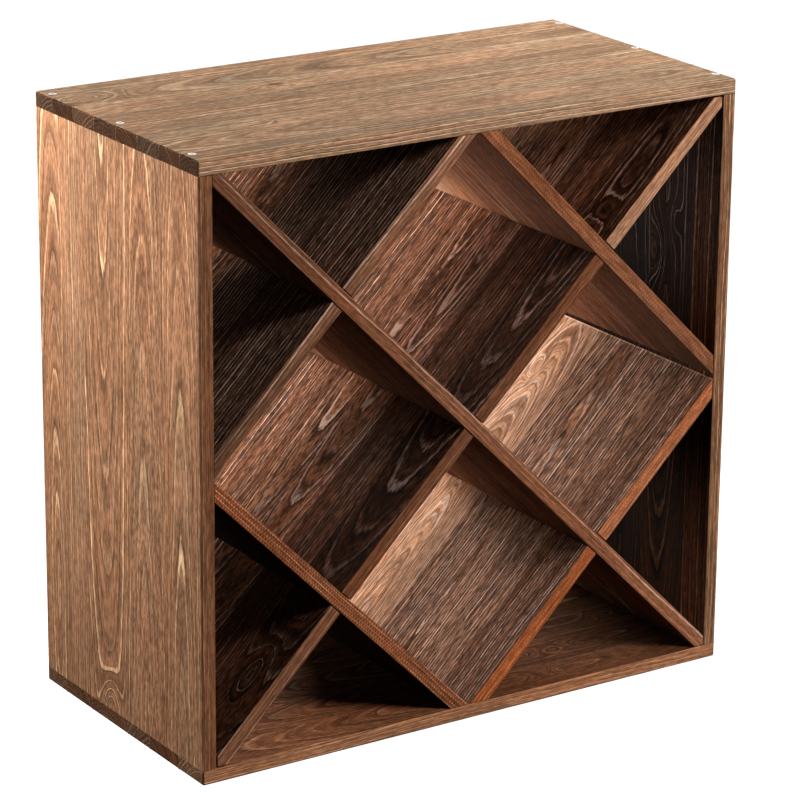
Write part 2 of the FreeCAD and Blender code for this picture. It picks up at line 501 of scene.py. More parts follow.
def stave(width, aside=-60, depth=8, ring=5.0, crown=0, lean=0.0, fade=0.0, light=1.0, red=0.0, figure=1.0,
          line=0.3, ragged=0.4, speckle=0.2, knot=NO_KNOT, eye=NO_KNOT, inner=1.0):
    """A stave's share of its board, and its grain in millimetres. The pith lies `aside` from the board's
    back edge and `depth` below the show face. Rings open away from `crown`, a place along the grain, at
    the slope `lean`. Painted light makes the stave lighter along the grain by `fade` per metre. A knot or
    eye is (along, across, size), and only a knot has a dark heart. Painted light and shade make a face
    that looks inwards `inner` times as light."""
    return {
        "width": width,
        "inner": inner,
        "stave_pith": (aside * MM, depth * MM, ring * MM),
        "stave_path_and_painted_light": (crown * MM, lean, fade),
        "stave_tone_and_painted_light": (light, red, figure),
        "stave_line": (line, ragged, speckle),
        "stave_knot": tuple(value * MM for value in knot),
        "stave_eye": tuple(value * MM for value in eye),
    }


print("stave figures ready")

# %% Staves of the box
# Painted light: the left side gets lighter towards the top
left_stave = functools.partial(stave, red=-0.5, ragged=0.25, speckle=0.3, fade=0.25, line=0.26)
left_side_staves = [
    left_stave(42, aside=28, depth=4, ring=4.6, crown=-190, lean=0.08, light=1.0, red=-0.3, figure=0.9),
    left_stave(45, aside=-60, depth=10, ring=4.4, light=1.03, figure=0.6),
    left_stave(85, aside=127, depth=3, ring=5.6, crown=447, lean=0.056, light=1.0, figure=0.9,
               eye=(-292, 130, 17)),
    left_stave(63, aside=200, depth=2, ring=6.0, crown=-330, lean=0.055, light=0.97, figure=0.45,
               speckle=0.36),
    left_stave(69, aside=267, depth=2, ring=5.6, crown=-420, lean=0.045, light=1.0, figure=0.8),
]
right_stave = functools.partial(stave, red=-0.5, ragged=0.5, speckle=0.4)
# The last three staves carry painted light and shade for the right side's inward face, stave by stave
right_side_staves = [
    right_stave(64, aside=-40, light=0.95),
    right_stave(54, aside=95, depth=12, crown=300, lean=0.06),
    right_stave(76, aside=160, depth=8, crown=-260, lean=0.07, light=0.9, inner=0.8),
    right_stave(70, aside=222, depth=6, ring=4.6, crown=120, lean=0.09, knot=(105, 207, 15),
                eye=(143, 234, 9), inner=1.5),
    right_stave(40, aside=360, ring=6.0, light=1.3, inner=3.2),
]
# Painted light: the top gets lighter towards the right
top_stave = functools.partial(stave, red=-1.3, ragged=0.26, speckle=0.26, line=0.3, fade=0.25)
top_staves = [
    top_stave(34, aside=-80, ring=6.5, light=0.84, figure=0.3),
    top_stave(40, aside=55, depth=12, ring=6.0, crown=260, lean=0.1, light=0.74, figure=0.4,
              eye=(-272, 50, 13)),
    top_stave(40, aside=-10, ring=7.0, light=0.9, figure=0.25, knot=(-92, 95, 12)),
    top_stave(42, aside=20, ring=6.5, light=0.71, figure=0.25),
    top_stave(38, aside=60, ring=7.0, light=0.81, figure=0.3),
    top_stave(40, aside=120, ring=6.5, light=0.83, figure=0.3, eye=(-157, 215, 8), knot=(85, 205, 6)),
    top_stave(38, aside=252, depth=6, ring=6.0, crown=120, lean=0.08, light=0.88, figure=0.4),
    top_stave(32, aside=400, ring=6.0, light=0.76, figure=0.4),
]
# Painted shade: the bottom gets darker towards the right
bottom_stave = functools.partial(stave, red=0.8, ragged=0.35, speckle=0.35, fade=-2.0, figure=0.7,
                                 line=0.24)
bottom_staves = [
    bottom_stave(40, aside=-50, light=0.42),
    bottom_stave(52, aside=70, depth=10, crown=-200, lean=0.06, light=0.42),
    bottom_stave(70, aside=130, depth=8, crown=160, lean=0.08, light=0.42),
    bottom_stave(42, aside=175, depth=6, ring=4.6, crown=254, lean=0.12, light=0.42, eye=(254, 178, 12)),
    bottom_stave(55, aside=228, depth=5, crown=150, lean=0.09, light=0.47, figure=0.5, eye=(150, 230, 10)),
    bottom_stave(45, aside=275, depth=3, ring=4.6, crown=100, lean=0.12, light=0.57, figure=0.3,
                 eye=(104, 276, 9)),
]
print("figures for the four boards of the box")

# %% Staves of the lattice
lattice_stave = functools.partial(stave, ragged=0.55, speckle=0.6)
# The back stave and the two front staves carry slopes of painted light along the grain
rising_main_staves = [
    lattice_stave(58, aside=-60, ring=7.0, line=0.2, light=1.0, red=0.1, figure=1.6, ragged=0.45,
                  speckle=0.5, fade=-0.6),
    lattice_stave(34, aside=-30, ring=4.6, light=1.2, red=0.0, figure=0.35, ragged=0.4),
    lattice_stave(45, aside=118, depth=6, ring=5.2, crown=420, lean=0.05, light=1.9, red=0.1, line=0.28,
                  figure=1.1),
    lattice_stave(48, aside=158, depth=4, ring=4.6, crown=245, lean=0.08, light=1.95, red=0.2, figure=1.1),
    lattice_stave(52, aside=320, ring=4.6, light=0.76, red=0.7, figure=0.6, fade=0.3),
    lattice_stave(67, aside=270, depth=3, ring=6.0, crown=250, lean=0.12, light=0.45, red=0.7, figure=1.3,
                  fade=0.3, knot=(250, 272, 12), eye=(-310, 268, 14)),
]
rising_upper_left_staves = [
    lattice_stave(70, aside=-60, ring=4.8, light=0.8, red=0.2, figure=0.9),
    lattice_stave(58, aside=98, depth=14, ring=4.8, crown=240, lean=0.06, light=1.25, red=0.3, figure=1.6),
    lattice_stave(34, aside=-40, ring=4.4, light=1.1, red=0.0, figure=2.2),
    lattice_stave(60, aside=-20, ring=4.8, light=0.98, red=-0.4, figure=2.4),
    lattice_stave(82, aside=420, light=0.98, red=-0.4, figure=2.4),
]
golden_stave = functools.partial(stave, ragged=0.45, speckle=0.45, light=3.5, red=-0.8, figure=0.14,
                                 line=0.5)
rising_lower_right_staves = [
    golden_stave(56, aside=-50, ring=3.0),
    golden_stave(64, aside=82, depth=8, ring=2.2, crown=-195, lean=0.12, eye=(135, 68, 7)),
    lattice_stave(85, aside=172, depth=3, ring=3.8, crown=-129, lean=0.05, light=1.85, red=-0.3,
                  figure=0.75),
    lattice_stave(45, aside=-60, ring=3.6, light=1.65, red=-0.2, figure=0.5),
    lattice_stave(54, aside=330, ring=3.8, light=1.3, red=0.0, figure=0.5),
]
# The falling main board's underside is lighter towards its back edge: painted light from behind, in the tones
# of the back staves
under_stave = functools.partial(stave, red=-0.5, ragged=0.35, speckle=0.3, figure=0.3)
falling_main_staves = [
    under_stave(60, aside=-60, light=4.3),
    under_stave(66, aside=95, depth=10, crown=200, lean=0.05, light=2.0),
    under_stave(52, aside=0, ring=4.6, light=1.55),
    under_stave(70, aside=210, depth=8, crown=-200, lean=0.05, light=1.3),
    under_stave(56, aside=400, light=1.3),
]
# The upper right board's staves get darker from the back edge to the front, painted light from behind, and
# darker towards its lower end, painted shade
upper_stave = functools.partial(stave, red=-0.3, ragged=0.25, speckle=0.25, figure=0.2, fade=-3.0)
falling_upper_staves = [
    upper_stave(72, aside=-60, light=5.8, red=-0.6, figure=0.3),
    upper_stave(60, aside=100, depth=12, crown=180, lean=0.05, light=5.2),
    upper_stave(84, aside=170, depth=16, crown=-220, lean=0.04, light=3.7),
    upper_stave(88, aside=380, light=2.5),
]
# The lower left board's staves are dark with painted shade, for its underside in deep shadow
falling_lower_staves = [
    lattice_stave(84, aside=-60, light=0.38, red=-0.5),
    lattice_stave(72, aside=120, depth=12, crown=-180, lean=0.05, light=0.25, red=-0.5),
    lattice_stave(66, aside=40, ring=4.8, light=0.2, red=-0.5),
    lattice_stave(82, aside=390, light=0.2, red=-0.5),
]
print("figures for the six boards of the lattice")

# %% [markdown]
# ## Marking a board's grain
#
# A board's grain runs along it, so each piece needs to know its own directions: along the grain,
# across the board towards the front, and out through the face that shows most. The function below
# writes a point's place in those directions, and its stave's figure, into the mesh as attributes.
# It also notes which faces are end grain, eased arris or rough-sawn edge.

# %% Marking the grain
ACROSS = Vector((0.0, -1.0, 0.0))
SEED_STEP = Vector((3.7, 6.1, 2.3))
NOTHING = (0.0, 0.0, 0.0)
EDGE_PITH_DEPTH = 90 * MM
EDGE_RING = 4.4 * MM
EDGE_LINE = (0.3, 0.25, 0.25)
END_PITH_DEPTH = 38 * MM
END_RING = 4.2 * MM
END_LINE = (0.4, 0.3, 0.4)
END_RED = -0.1
END_FIGURE = 0.5
END_TURN = 2.4
END_LIGHT_SPREAD = 0.2
END_RED_SPREAD = 0.5
# Painted sheen: how much stronger the latewood lines are on faces that look inwards
PAINTED_LINE_SHEEN = 1.6
# Painted highlight: how much lighter a rising board's rubbed tip is where it catches the light
TIP_PAINTED_HIGHLIGHT = 3.0
# How squarely a face has to look along the grain, towards the front or back, or out of the board, to
# count as end grain, edge, face, or part of the tip's painted highlight
END_FACING = 0.6
EDGE_FACING = 0.5
FACE_FACING = 0.9
TIP_FACING = 0.3


def board_directions(along, out):
    """The rows of this matrix turn a point into its place along, across and out through a board."""
    return Matrix((Vector(along).normalized(), ACROSS, Vector(out).normalized()))


def glue_lines(staves):
    """How far each glue line lies from the board's back edge."""
    total = sum(one["width"] for one in staves)
    ends = np.cumsum([one["width"] for one in staves]) / total * cabinet_size.y
    return [float(end) for end in ends[:-1]]


def write_attribute(mesh, name, domain, rows):
    attribute = mesh.attributes.new(name, "FLOAT_VECTOR", domain)
    attribute.data.foreach_set("vector", np.asarray(rows, np.float32).ravel())


FIGURE_ATTRIBUTES = ("stave_pith", "stave_path_and_painted_light", "stave_tone_and_painted_light", "stave_line", "stave_knot", "stave_eye")


def edge_figure(figure, centre, edge_tone):
    """A board's edge cuts the rings the other way from its face, so it shows narrow lines and no knots."""
    edge = dict(figure)
    light, red, fade, strength = edge_tone
    edge["stave_tone_and_painted_light"] = (light, red, strength)
    edge["stave_line"] = EDGE_LINE
    edge["stave_pith"] = (centre.y, EDGE_PITH_DEPTH, EDGE_RING)
    edge["stave_path_and_painted_light"] = (0.0, 0.0, fade)
    edge["stave_knot"] = edge["stave_eye"] = NOTHING
    return edge


def end_figure(figure, middle, number, shade):
    """A board's end shows the rings as arcs, which lean to one side or the other in every stave."""
    end = dict(figure)
    shift = math.sin(number * END_TURN)
    light = figure["stave_tone_and_painted_light"][0] * shade * (1 + END_LIGHT_SPREAD * shift)
    end["stave_tone_and_painted_light"] = (light, END_RED - END_RED_SPREAD * shift, END_FIGURE)
    end["stave_line"] = END_LINE
    end["stave_pith"] = (middle + shift * END_PITH_DEPTH, END_PITH_DEPTH, END_RING)
    end["stave_path_and_painted_light"] = end["stave_knot"] = end["stave_eye"] = NOTHING
    return end


def inner_figure(figure, shade, redder=0.0):
    """The same figure with painted light and shade, its latewood lines stronger as a painted sheen."""
    inner = dict(figure)
    light, red, strength = figure["stave_tone_and_painted_light"]
    inner["stave_tone_and_painted_light"] = (light * shade * figure["inner"], red + redder, strength * PAINTED_LINE_SHEEN)
    return inner


def mark_grain(mesh, directions, staves, first_seed, worn_faces, look):
    """Writes where each point lies in its board and what figure its stave has. The look says how the faces
    differ from the show face. Its edge tones give, from a place along the board on, how light and how red
    the front and back edges are, their slope of painted light along the board and how strong their lines
    are. It also says how roughly the front edge is sawn, how much painted light and shade and how much
    redder colour the inward faces get, how light the end grain is, and where along the board a pale band
    begins on the rubbed tip, a painted highlight where it catches the light."""
    edge_tones, sawn, inside, ends, tip = look
    origin = Vector((0.0, cabinet_size.y / 2, cabinet_size.z / 2))
    turned = np.array([directions @ (vertex.co - origin) for vertex in mesh.vertices])
    show_face = turned[:, 2].max()
    turned[:, 2] = show_face - turned[:, 2]
    write_attribute(mesh, "grain_place", "POINT", turned)
    lines = glue_lines(staves)
    centres = [directions @ (polygon.center - origin) for polygon in mesh.polygons]
    owners = [int(np.searchsorted(lines, centre.y)) for centre in centres]
    normals = [directions @ polygon.normal for polygon in mesh.polygons]
    figures = []
    bounds = [0.0, *lines, cabinet_size.y]
    for polygon, owner, centre, normal in zip(mesh.polygons, owners, centres, normals):
        # A rising board's rubbed tip gets a painted highlight where it catches the light
        if centre.x > tip and normal.z > TIP_FACING:
            figures.append(inner_figure(staves[owner], TIP_PAINTED_HIGHLIGHT))
        elif abs(normal.x) > END_FACING:
            middle = (bounds[owner] + bounds[owner + 1]) / 2
            figures.append(end_figure(staves[owner], middle, owner + first_seed, ends))
        elif abs(normal.y) > EDGE_FACING:
            tone = [tone for start, *tone in edge_tones if centre.x > start * MM][-1]
            figures.append(edge_figure(staves[owner], centre, tone))
        # Faces that look inwards get painted light and shade, and their lines a painted sheen
        elif abs(normal.z) > FACE_FACING and polygon.normal.dot(cabinet_middle - polygon.center) > 0:
            figures.append(inner_figure(staves[owner], *inside))
        else:
            figures.append(staves[owner])
    for name in FIGURE_ATTRIBUTES:
        write_attribute(mesh, name, "FACE", [figure[name] for figure in figures])
    write_attribute(mesh, "stave_seed", "FACE", [SEED_STEP * (first_seed + owner) for owner in owners])
    kinds = []
    for normal, centre, worn in zip(normals, centres, worn_faces):
        end_grain = float(abs(normal.x) > END_FACING and centre.x < tip)
        kinds.append((end_grain, float(worn), sawn * float(normal.y > EDGE_FACING)))
    write_attribute(mesh, "surface_kind", "FACE", kinds)


print("grain marks ready")

# %% [markdown]
# ## Eased and worn arrises
#
# A sharp computer edge gives a board away at once. On the real boards the outer arrises are rounded
# by about two millimetres, the others are only taken off with sandpaper, and handling and brushing
# leave them slightly uneven. The Bevel modifier rounds each edge by its own weight, and a little noise
# then moves the points in the middle of each rounding inwards, never outwards.

# %% Easing the arrises
ARRIS_SEGMENTS = 3
SHARP_ANGLE = math.radians(25)
WEAR_WAVES = 60.0
NICK_WAVES = 170.0
NICK_SEED = Vector((5.0, 1.0, 9.0))
NICK_START = 0.25
WAVE_SHARE = 0.5
NICK_SHARE = 1.2


def link_piece(name, mesh):
    piece = bpy.data.objects.new(name, mesh)
    bpy.context.scene.collection.objects.link(piece)
    return piece


def finished_piece(name, board):
    """Turns a mesh that was being worked on into a piece."""
    mesh = bpy.data.meshes.new(name)
    board.to_mesh(mesh)
    board.free()
    return link_piece(name, mesh)


def cut_across(board, cuts):
    """Cuts the mesh along planes, each given by a point and a direction, without opening it."""
    for place, way in cuts:
        everything = board.verts[:] + board.edges[:] + board.faces[:]
        bmesh.ops.bisect_plane(board, geom=everything, plane_co=place, plane_no=way)


def carry_out_modifiers(piece):
    """Turns the piece and its modifiers into a plain mesh."""
    graph = bpy.context.evaluated_depsgraph_get()
    mesh = bpy.data.meshes.new_from_object(piece.evaluated_get(graph))
    old_mesh = piece.data
    piece.modifiers.clear()
    piece.data = mesh
    mesh.name = piece.name
    bpy.data.meshes.remove(old_mesh)


def edge_midpoints(mesh):
    ends = [edge.vertices for edge in mesh.edges]
    return [(mesh.vertices[first].co + mesh.vertices[second].co) / 2 for first, second in ends]


def sharp_edges(mesh):
    """Which edges turn a corner, in the order of the mesh's edges."""
    board = bmesh.new()
    board.from_mesh(mesh)
    sharp = [edge.is_manifold and edge.calc_face_angle() > SHARP_ANGLE for edge in board.edges]
    board.free()
    return sharp


def ease_arrises(piece, widest, width_at, cutter=None):
    """Rounds every sharp edge by the width that width_at gives for its middle, and cuts the holes that
    the cutter makes. Gives back which faces belong to the roundings."""
    mesh = piece.data
    edges = zip(edge_midpoints(mesh), sharp_edges(mesh))
    widths = [width_at(middle) if sharp else 0.0 for middle, sharp in edges]
    weight = mesh.attributes.new("bevel_weight_edge", "FLOAT", "EDGE")
    weight.data.foreach_set("value", [width / widest for width in widths])
    spare = bpy.data.materials.new("rounding_mark")
    mesh.materials.append(spare)
    mesh.materials.append(spare)
    bevel = piece.modifiers.new("eased", "BEVEL")
    bevel.limit_method = "WEIGHT"
    bevel.width = widest
    bevel.segments = ARRIS_SEGMENTS
    bevel.material = 1
    if cutter:
        holes = piece.modifiers.new("holes", "BOOLEAN")
        holes.operation = "DIFFERENCE"
        holes.solver = "EXACT"
        holes.object = cutter
    carry_out_modifiers(piece)
    mesh = piece.data
    worn = [polygon.material_index == 1 for polygon in mesh.polygons]
    mesh.materials.clear()
    bpy.data.materials.remove(spare)
    for polygon, rounded in zip(mesh.polygons, worn):
        polygon.material_index = 0
        polygon.use_smooth = rounded
    return worn


def wear_arrises(mesh, worn, deepest):
    """Moves the points that lie only in roundings inwards, unevenly, to at most this depth."""
    in_flat = set()
    for polygon, rounded in zip(mesh.polygons, worn):
        if not rounded:
            in_flat.update(polygon.vertices)
    normals = [vertex.normal.copy() for vertex in mesh.vertices]
    for vertex, normal in zip(mesh.vertices, normals):
        if vertex.index not in in_flat:
            long_wave = noise.noise(vertex.co * WEAR_WAVES) * 0.5 + 0.5
            nick = max(0.0, noise.noise(vertex.co * NICK_WAVES + NICK_SEED) - NICK_START)
            vertex.co -= normal * deepest * min(1.0, long_wave * WAVE_SHARE + nick * NICK_SHARE)


print("arris tools ready")

# %% [markdown]
# ## Screw holes
#
# The top and bottom are screwed to the ends of the sides, and each screw sits in a countersunk hole. A
# hole could be painted dark, but its rim shows round the bright head. So one tool with the shape of all
# twelve holes, turned like work on a lathe, is made first and cuts the staves later.

# %% Screw holes
SCREW_ROW_SHARES = (0.084, 0.512, 0.939)
SCREW_NODES = ("top_screws_left", "top_screws_right", "bottom_screws_left", "bottom_screws_right")
HEAD_DIAMETER = 8.0 * MM
SHANK_DIAMETER = 4.0 * MM
SCREW_LENGTH = 40.0 * MM
HEAD_RIM = 0.4 * MM
HOLE_PLAY = 0.3 * MM
HOLE_RISE = 2 * MM
HOLE_SIDES = 36


def screw_places(node):
    """Where the three heads of a line of screws lie, from the front to the back."""
    low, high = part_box(node)
    height = high.z if node.startswith("top") else low.z
    middle = (low.x + high.x) / 2
    return [Vector((middle, cabinet_size.y * (share - 0.5), height)) for share in SCREW_ROW_SHARES]


def add_lathe(board, outline, origin, up):
    """Adds a shape turned round an upright line, from its outline of (radius, height) points."""
    rings = []
    for radius, height in outline:
        ring = []
        for side in range(HOLE_SIDES):
            angle = 2 * math.pi * side / HOLE_SIDES
            spot = Vector((radius * math.cos(angle), radius * math.sin(angle), height * up))
            ring.append(board.verts.new(origin + spot))
        rings.append(ring)
    for upper, lower in zip(rings, rings[1:]):
        for side in range(HOLE_SIDES):
            following = (side + 1) % HOLE_SIDES
            board.faces.new((upper[side], upper[following], lower[following], lower[side]))
    board.faces.new(rings[0])
    board.faces.new(rings[-1])


def screw_hole_cutter():
    """Countersunk holes for all twelve screws, a little wider than the screws, as one cutting tool."""
    board = bmesh.new()
    head = HEAD_DIAMETER / 2 + HOLE_PLAY
    shank = SHANK_DIAMETER / 2 + HOLE_PLAY
    rim = -HEAD_RIM - HOLE_PLAY
    outline = ((head, HOLE_RISE), (head, rim), (shank, rim - (head - shank)), (shank, -SCREW_LENGTH))
    for node in SCREW_NODES:
        for place in screw_places(node):
            add_lathe(board, outline, place, 1 if node.startswith("top") else -1)
    bmesh.ops.recalc_face_normals(board, faces=board.faces)
    return finished_piece("screw_hole_cutter", board)


def holds_screws(low, high):
    """Whether any screw's head lies over this box."""
    return any(
        low.x < place.x < high.x and low.y < place.y < high.y and low.z - MM < place.z < high.z + MM
        for node in SCREW_NODES
        for place in screw_places(node)
    )


hole_cutter = screw_hole_cutter()
print("hole cutter", len(hole_cutter.data.polygons), "faces")

# %% [markdown]
# ## Carcass staves
#
# Top, bottom and sides are glued up from 24 staves, and each is a piece of its own, as in the CAD.
# A stave is cut from the box of its CAD node and sliced about every two centimetres, so that its
# arrises have points to wear at. Only edges on the outside of the cube are rounded fully, which is
# easy to tell: such an edge lies on the cabinet's box in two directions at once.

# %% Carcass staves
SLICE = 18 * MM
OUTER_ROUNDING = 2.0 * MM
INNER_EASING = 0.5 * MM
GLUE_LINE = 0.12 * MM
CARCASS_WEAR = 0.5 * MM
TOUCH = 0.01 * MM
END_SHADE = 0.58
# Where a tone begins that holds for the whole edge, in millimetres, and a tip that no board reaches to
WHOLE_EDGE = -999
NO_TIP = 9.0


def stave_block(name, low, high, along):
    """A plain block between two corners, sliced across its length."""
    board = bmesh.new()
    bmesh.ops.create_cube(board, size=1.0)
    for vertex in board.verts:
        share = vertex.co + Vector((0.5, 0.5, 0.5))
        vertex.co = Vector(low[axis] + (high[axis] - low[axis]) * share[axis] for axis in range(3))
    way = Vector(along)
    start = min(way.dot(low), way.dot(high))
    length = abs(way.dot(high - low))
    count = round(length / SLICE)
    cut_across(board, [(way * (start + length * number / count), way) for number in range(1, count)])
    return finished_piece(name, board)


def outer_sides_touched(point):
    """On how many of the three directions the point lies on the cabinet's own box."""
    gaps = [min(abs(point[axis] - cad_low[axis]), abs(point[axis] - cad_high[axis])) for axis in range(3)]
    return sum(gap < TOUCH for gap in gaps)


def carcass_arris(point):
    """How far the edge with this middle point is rounded."""
    if outer_sides_touched(point) >= 2:
        return OUTER_ROUNDING
    if abs(abs(point.y) - cabinet_size.y / 2) > TOUCH:
        return GLUE_LINE
    return INNER_EASING


def carcass_board(board_name, along, out, staves, first_seed, edge_tone, inside, ends=END_SHADE):
    """All the staves of one board of the box."""
    directions = board_directions(along, out)
    look = ([(WHOLE_EDGE, *edge_tone)], 0.0, inside, ends, NO_TIP)
    for number in range(1, len(staves) + 1):
        node = f"{board_name}_stave_{number}"
        low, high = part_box(node)
        piece = stave_block(f"{node}_wood", low, high, along)
        cutter = hole_cutter if holds_screws(low, high) else None
        worn = ease_arrises(piece, OUTER_ROUNDING, carcass_arris, cutter)
        wear_arrises(piece.data, worn, CARCASS_WEAR)
        mark_grain(piece.data, directions, staves, first_seed, worn, look)
        piece.data.materials.append(carcass_pine)
        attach(piece, "root")
        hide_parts(node)
    print(board_name, len(staves), "staves")


RIGHT, UP, LEFT = (1, 0, 0), (0, 0, 1), (-1, 0, 0)
# Painted shade on the faces that look inwards: the top's underside 0.45, the left side's 0.3 and the right
# side's 0.052 times as light, the right one redder
carcass_board("top", RIGHT, UP, top_staves, 1, (1.8, -1.0, 0.0, 1.1), (0.45, 0.0))
# The bottom's end grain gets painted light, 2.5 instead of 0.58, because little light reaches it
carcass_board("bottom", RIGHT, UP, bottom_staves, 11, (1.5, 0.0, 0.0, 0.5), (1.0, 0.0), ends=2.5)
carcass_board("left_side", UP, LEFT, left_side_staves, 21, (0.77, 0.5, 0.0, 0.5), (0.3, 0.0))
carcass_board("right_side", UP, LEFT, right_side_staves, 31, (0.96, -0.3, 0.0, 0.7), (0.052, 2.2))
bpy.data.objects.remove(hole_cutter)

# %% [markdown]
# ## Lattice boards
#
# Six boards make the lattice: three rise to the right and three fall. Where two cross, each is slotted
# to half its depth and they slide together, as in an egg crate. That is a rule, so Geometry Nodes make
# all six from one tree: a long board, slots at even steps, and a box that cuts its ends off along the
# panels. The rising boards are slotted from the front and the falling ones from the back.

# %% The slotted board tree
LATTICE_THICKNESS = 14.5 * MM
SLOT_CLEARANCE = 0.6 * MM
OVERRUN = 30 * MM
# A slot is cut this many board thicknesses tall, so that it goes right through
SLOT_THICKNESSES = 3.0
BOARD_INPUTS = {
    "NodeSocketFloat": (
        "Length", "Depth", "Thickness", "Slot Spacing", "Slot Width", "Slot Depth", "Slot Middle", "Offset",
        "Tilt",
    ),
    "NodeSocketInt": ("Slices", "Slot Count"),
    "NodeSocketVector": ("Centre", "Room Centre", "Room Size"),
}


def new_tree(name, inputs):
    """An empty Geometry Nodes tree. Its inputs are listed under their kinds."""
    tree = bpy.data.node_groups.new(name, "GeometryNodeTree")
    for kind, sockets in inputs.items():
        for socket in sockets:
            tree.interface.new_socket(socket, in_out="INPUT", socket_type=kind)
    tree.interface.new_socket("Geometry", in_out="OUTPUT", socket_type="NodeSocketGeometry")
    return tree


def slotted_board_tree():
    tree = new_tree("slotted_board", BOARD_INPUTS)
    desk = NodeDesk(tree)
    given = desk.node("NodeGroupInput").outputs
    size = desk.join(given["Length"], given["Depth"], given["Thickness"])
    board = desk.node("GeometryNodeMeshCube", {"Size": size, "Vertices X": given["Slices"]})
    slot_tall = desk.sum("MULTIPLY", given["Thickness"], SLOT_THICKNESSES)
    slot_size = desk.join(given["Slot Width"], given["Slot Depth"], slot_tall)
    slot = desk.node("GeometryNodeMeshCube", {"Size": slot_size})
    half_run = desk.sum("MULTIPLY", desk.sum("SUBTRACT", given["Slot Count"], 1.0), given["Slot Spacing"])
    first = desk.join(desk.sum("MULTIPLY", half_run, -0.5), given["Slot Middle"], 0.0)
    row = desk.node("GeometryNodeMeshLine", {
        "Count": given["Slot Count"],
        "Start Location": first,
        "Offset": desk.join(given["Slot Spacing"], 0.0, 0.0),
    })
    slots = desk.node("GeometryNodeInstanceOnPoints", {"Points": row.outputs[0], "Instance": slot.outputs[0]})
    slots = desk.node("GeometryNodeRealizeInstances", {0: slots.outputs[0]})
    slotted = desk.node("GeometryNodeMeshBoolean", operation="DIFFERENCE", solver="EXACT")
    desk.feed(slotted.inputs["Mesh 1"], board.outputs[0])
    desk.feed(slotted.inputs["Mesh 2"], slots.outputs[0])
    shifted = desk.node("GeometryNodeTransform", {
        "Geometry": slotted.outputs[0], "Translation": desk.join(0.0, 0.0, given["Offset"]),
    })
    turned = desk.node("GeometryNodeTransform", {
        "Geometry": shifted.outputs[0],
        "Translation": given["Centre"],
        "Rotation": desk.join(0.0, given["Tilt"], 0.0),
    })
    room = desk.node("GeometryNodeMeshCube", {"Size": given["Room Size"]})
    room = desk.node("GeometryNodeTransform", {
        "Geometry": room.outputs[0], "Translation": given["Room Centre"],
    })
    fitted = desk.node("GeometryNodeMeshBoolean", operation="INTERSECT", solver="EXACT")
    desk.feed(fitted.inputs["Mesh 2"], turned.outputs[0])
    desk.feed(fitted.inputs["Mesh 2"], room.outputs[0])
    whole = desk.node("GeometryNodeRealizeInstances", {0: fitted.outputs[0]})
    finished = desk.node("GeometryNodeSetMaterial", {"Geometry": whole.outputs[0], "Material": lattice_pine})
    result = desk.node("NodeGroupOutput")
    desk.feed(result.inputs[0], finished.outputs[0])
    return tree


def run_tree(piece, tree, values):
    """Turns the piece into what a Geometry Nodes tree makes. The inputs are set by their identifiers."""
    modifier = piece.modifiers.new("nodes", "NODES")
    modifier.node_group = tree
    for item in tree.interface.items_tree:
        if item.in_out == "INPUT" and item.name in values:
            modifier[item.identifier] = values[item.name]
    carry_out_modifiers(piece)


slotted_board = slotted_board_tree()
print("tree", slotted_board.name, len(slotted_board.nodes), "nodes")

# %% [markdown]
# ## Cutting the six boards
#
# Each board's place is read from its CAD node. A half board's outer corner tells how far it lies from
# the middle of the cabinet, and that distance is also the step between the slots of the main boards.
# The mesh is then cut along the glue lines, so that every face belongs to one stave.

# %% Lattice boards
LATTICE_EASING = 0.7 * MM
LATTICE_WEAR = 0.3 * MM
BOARD_LENGTH = 1.0
BOARD_SLICES = 53
PANEL_REACH = 30 * MM
TIP_BAND = 1.8 * MM
RISING = Vector((1.0, 0.0, 1.0)).normalized()
FALLING = Vector((1.0, 0.0, -1.0)).normalized()
FRONT, BACK = -1, 1
PLAIN = (1.0, 0.0)

half_low, half_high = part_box("falling_board_upper_right")
half_inner_face = Vector((half_low.x, 0.0, half_high.z)) - cabinet_middle
half_board_offset = (half_inner_face.x + half_inner_face.z) / math.sqrt(2) + LATTICE_THICKNESS / 2
print("half boards lie", round(half_board_offset, 4), "from the middle")


def cut_board(piece, staves, tip, along):
    """Cuts the mesh along its glue lines and across its tip."""
    board = bmesh.new()
    board.from_mesh(piece.data)
    cuts = [(Vector((0.0, cabinet_size.y / 2 - line, 0.0)), ACROSS) for line in glue_lines(staves)]
    cut_across(board, cuts + [(tip, along)])
    board.to_mesh(piece.data)
    board.free()


def room_between_panels(low, high):
    """The box that cuts a board off at the panels. Where no panel stands, it reaches past the board."""
    room_low = low.copy()
    room_high = high.copy()
    for axis in (0, 2):
        if low[axis] - cad_low[axis] > PANEL_REACH:
            room_low[axis] -= OVERRUN
        if cad_high[axis] - high[axis] > PANEL_REACH:
            room_high[axis] += OVERRUN
    return room_low, room_high


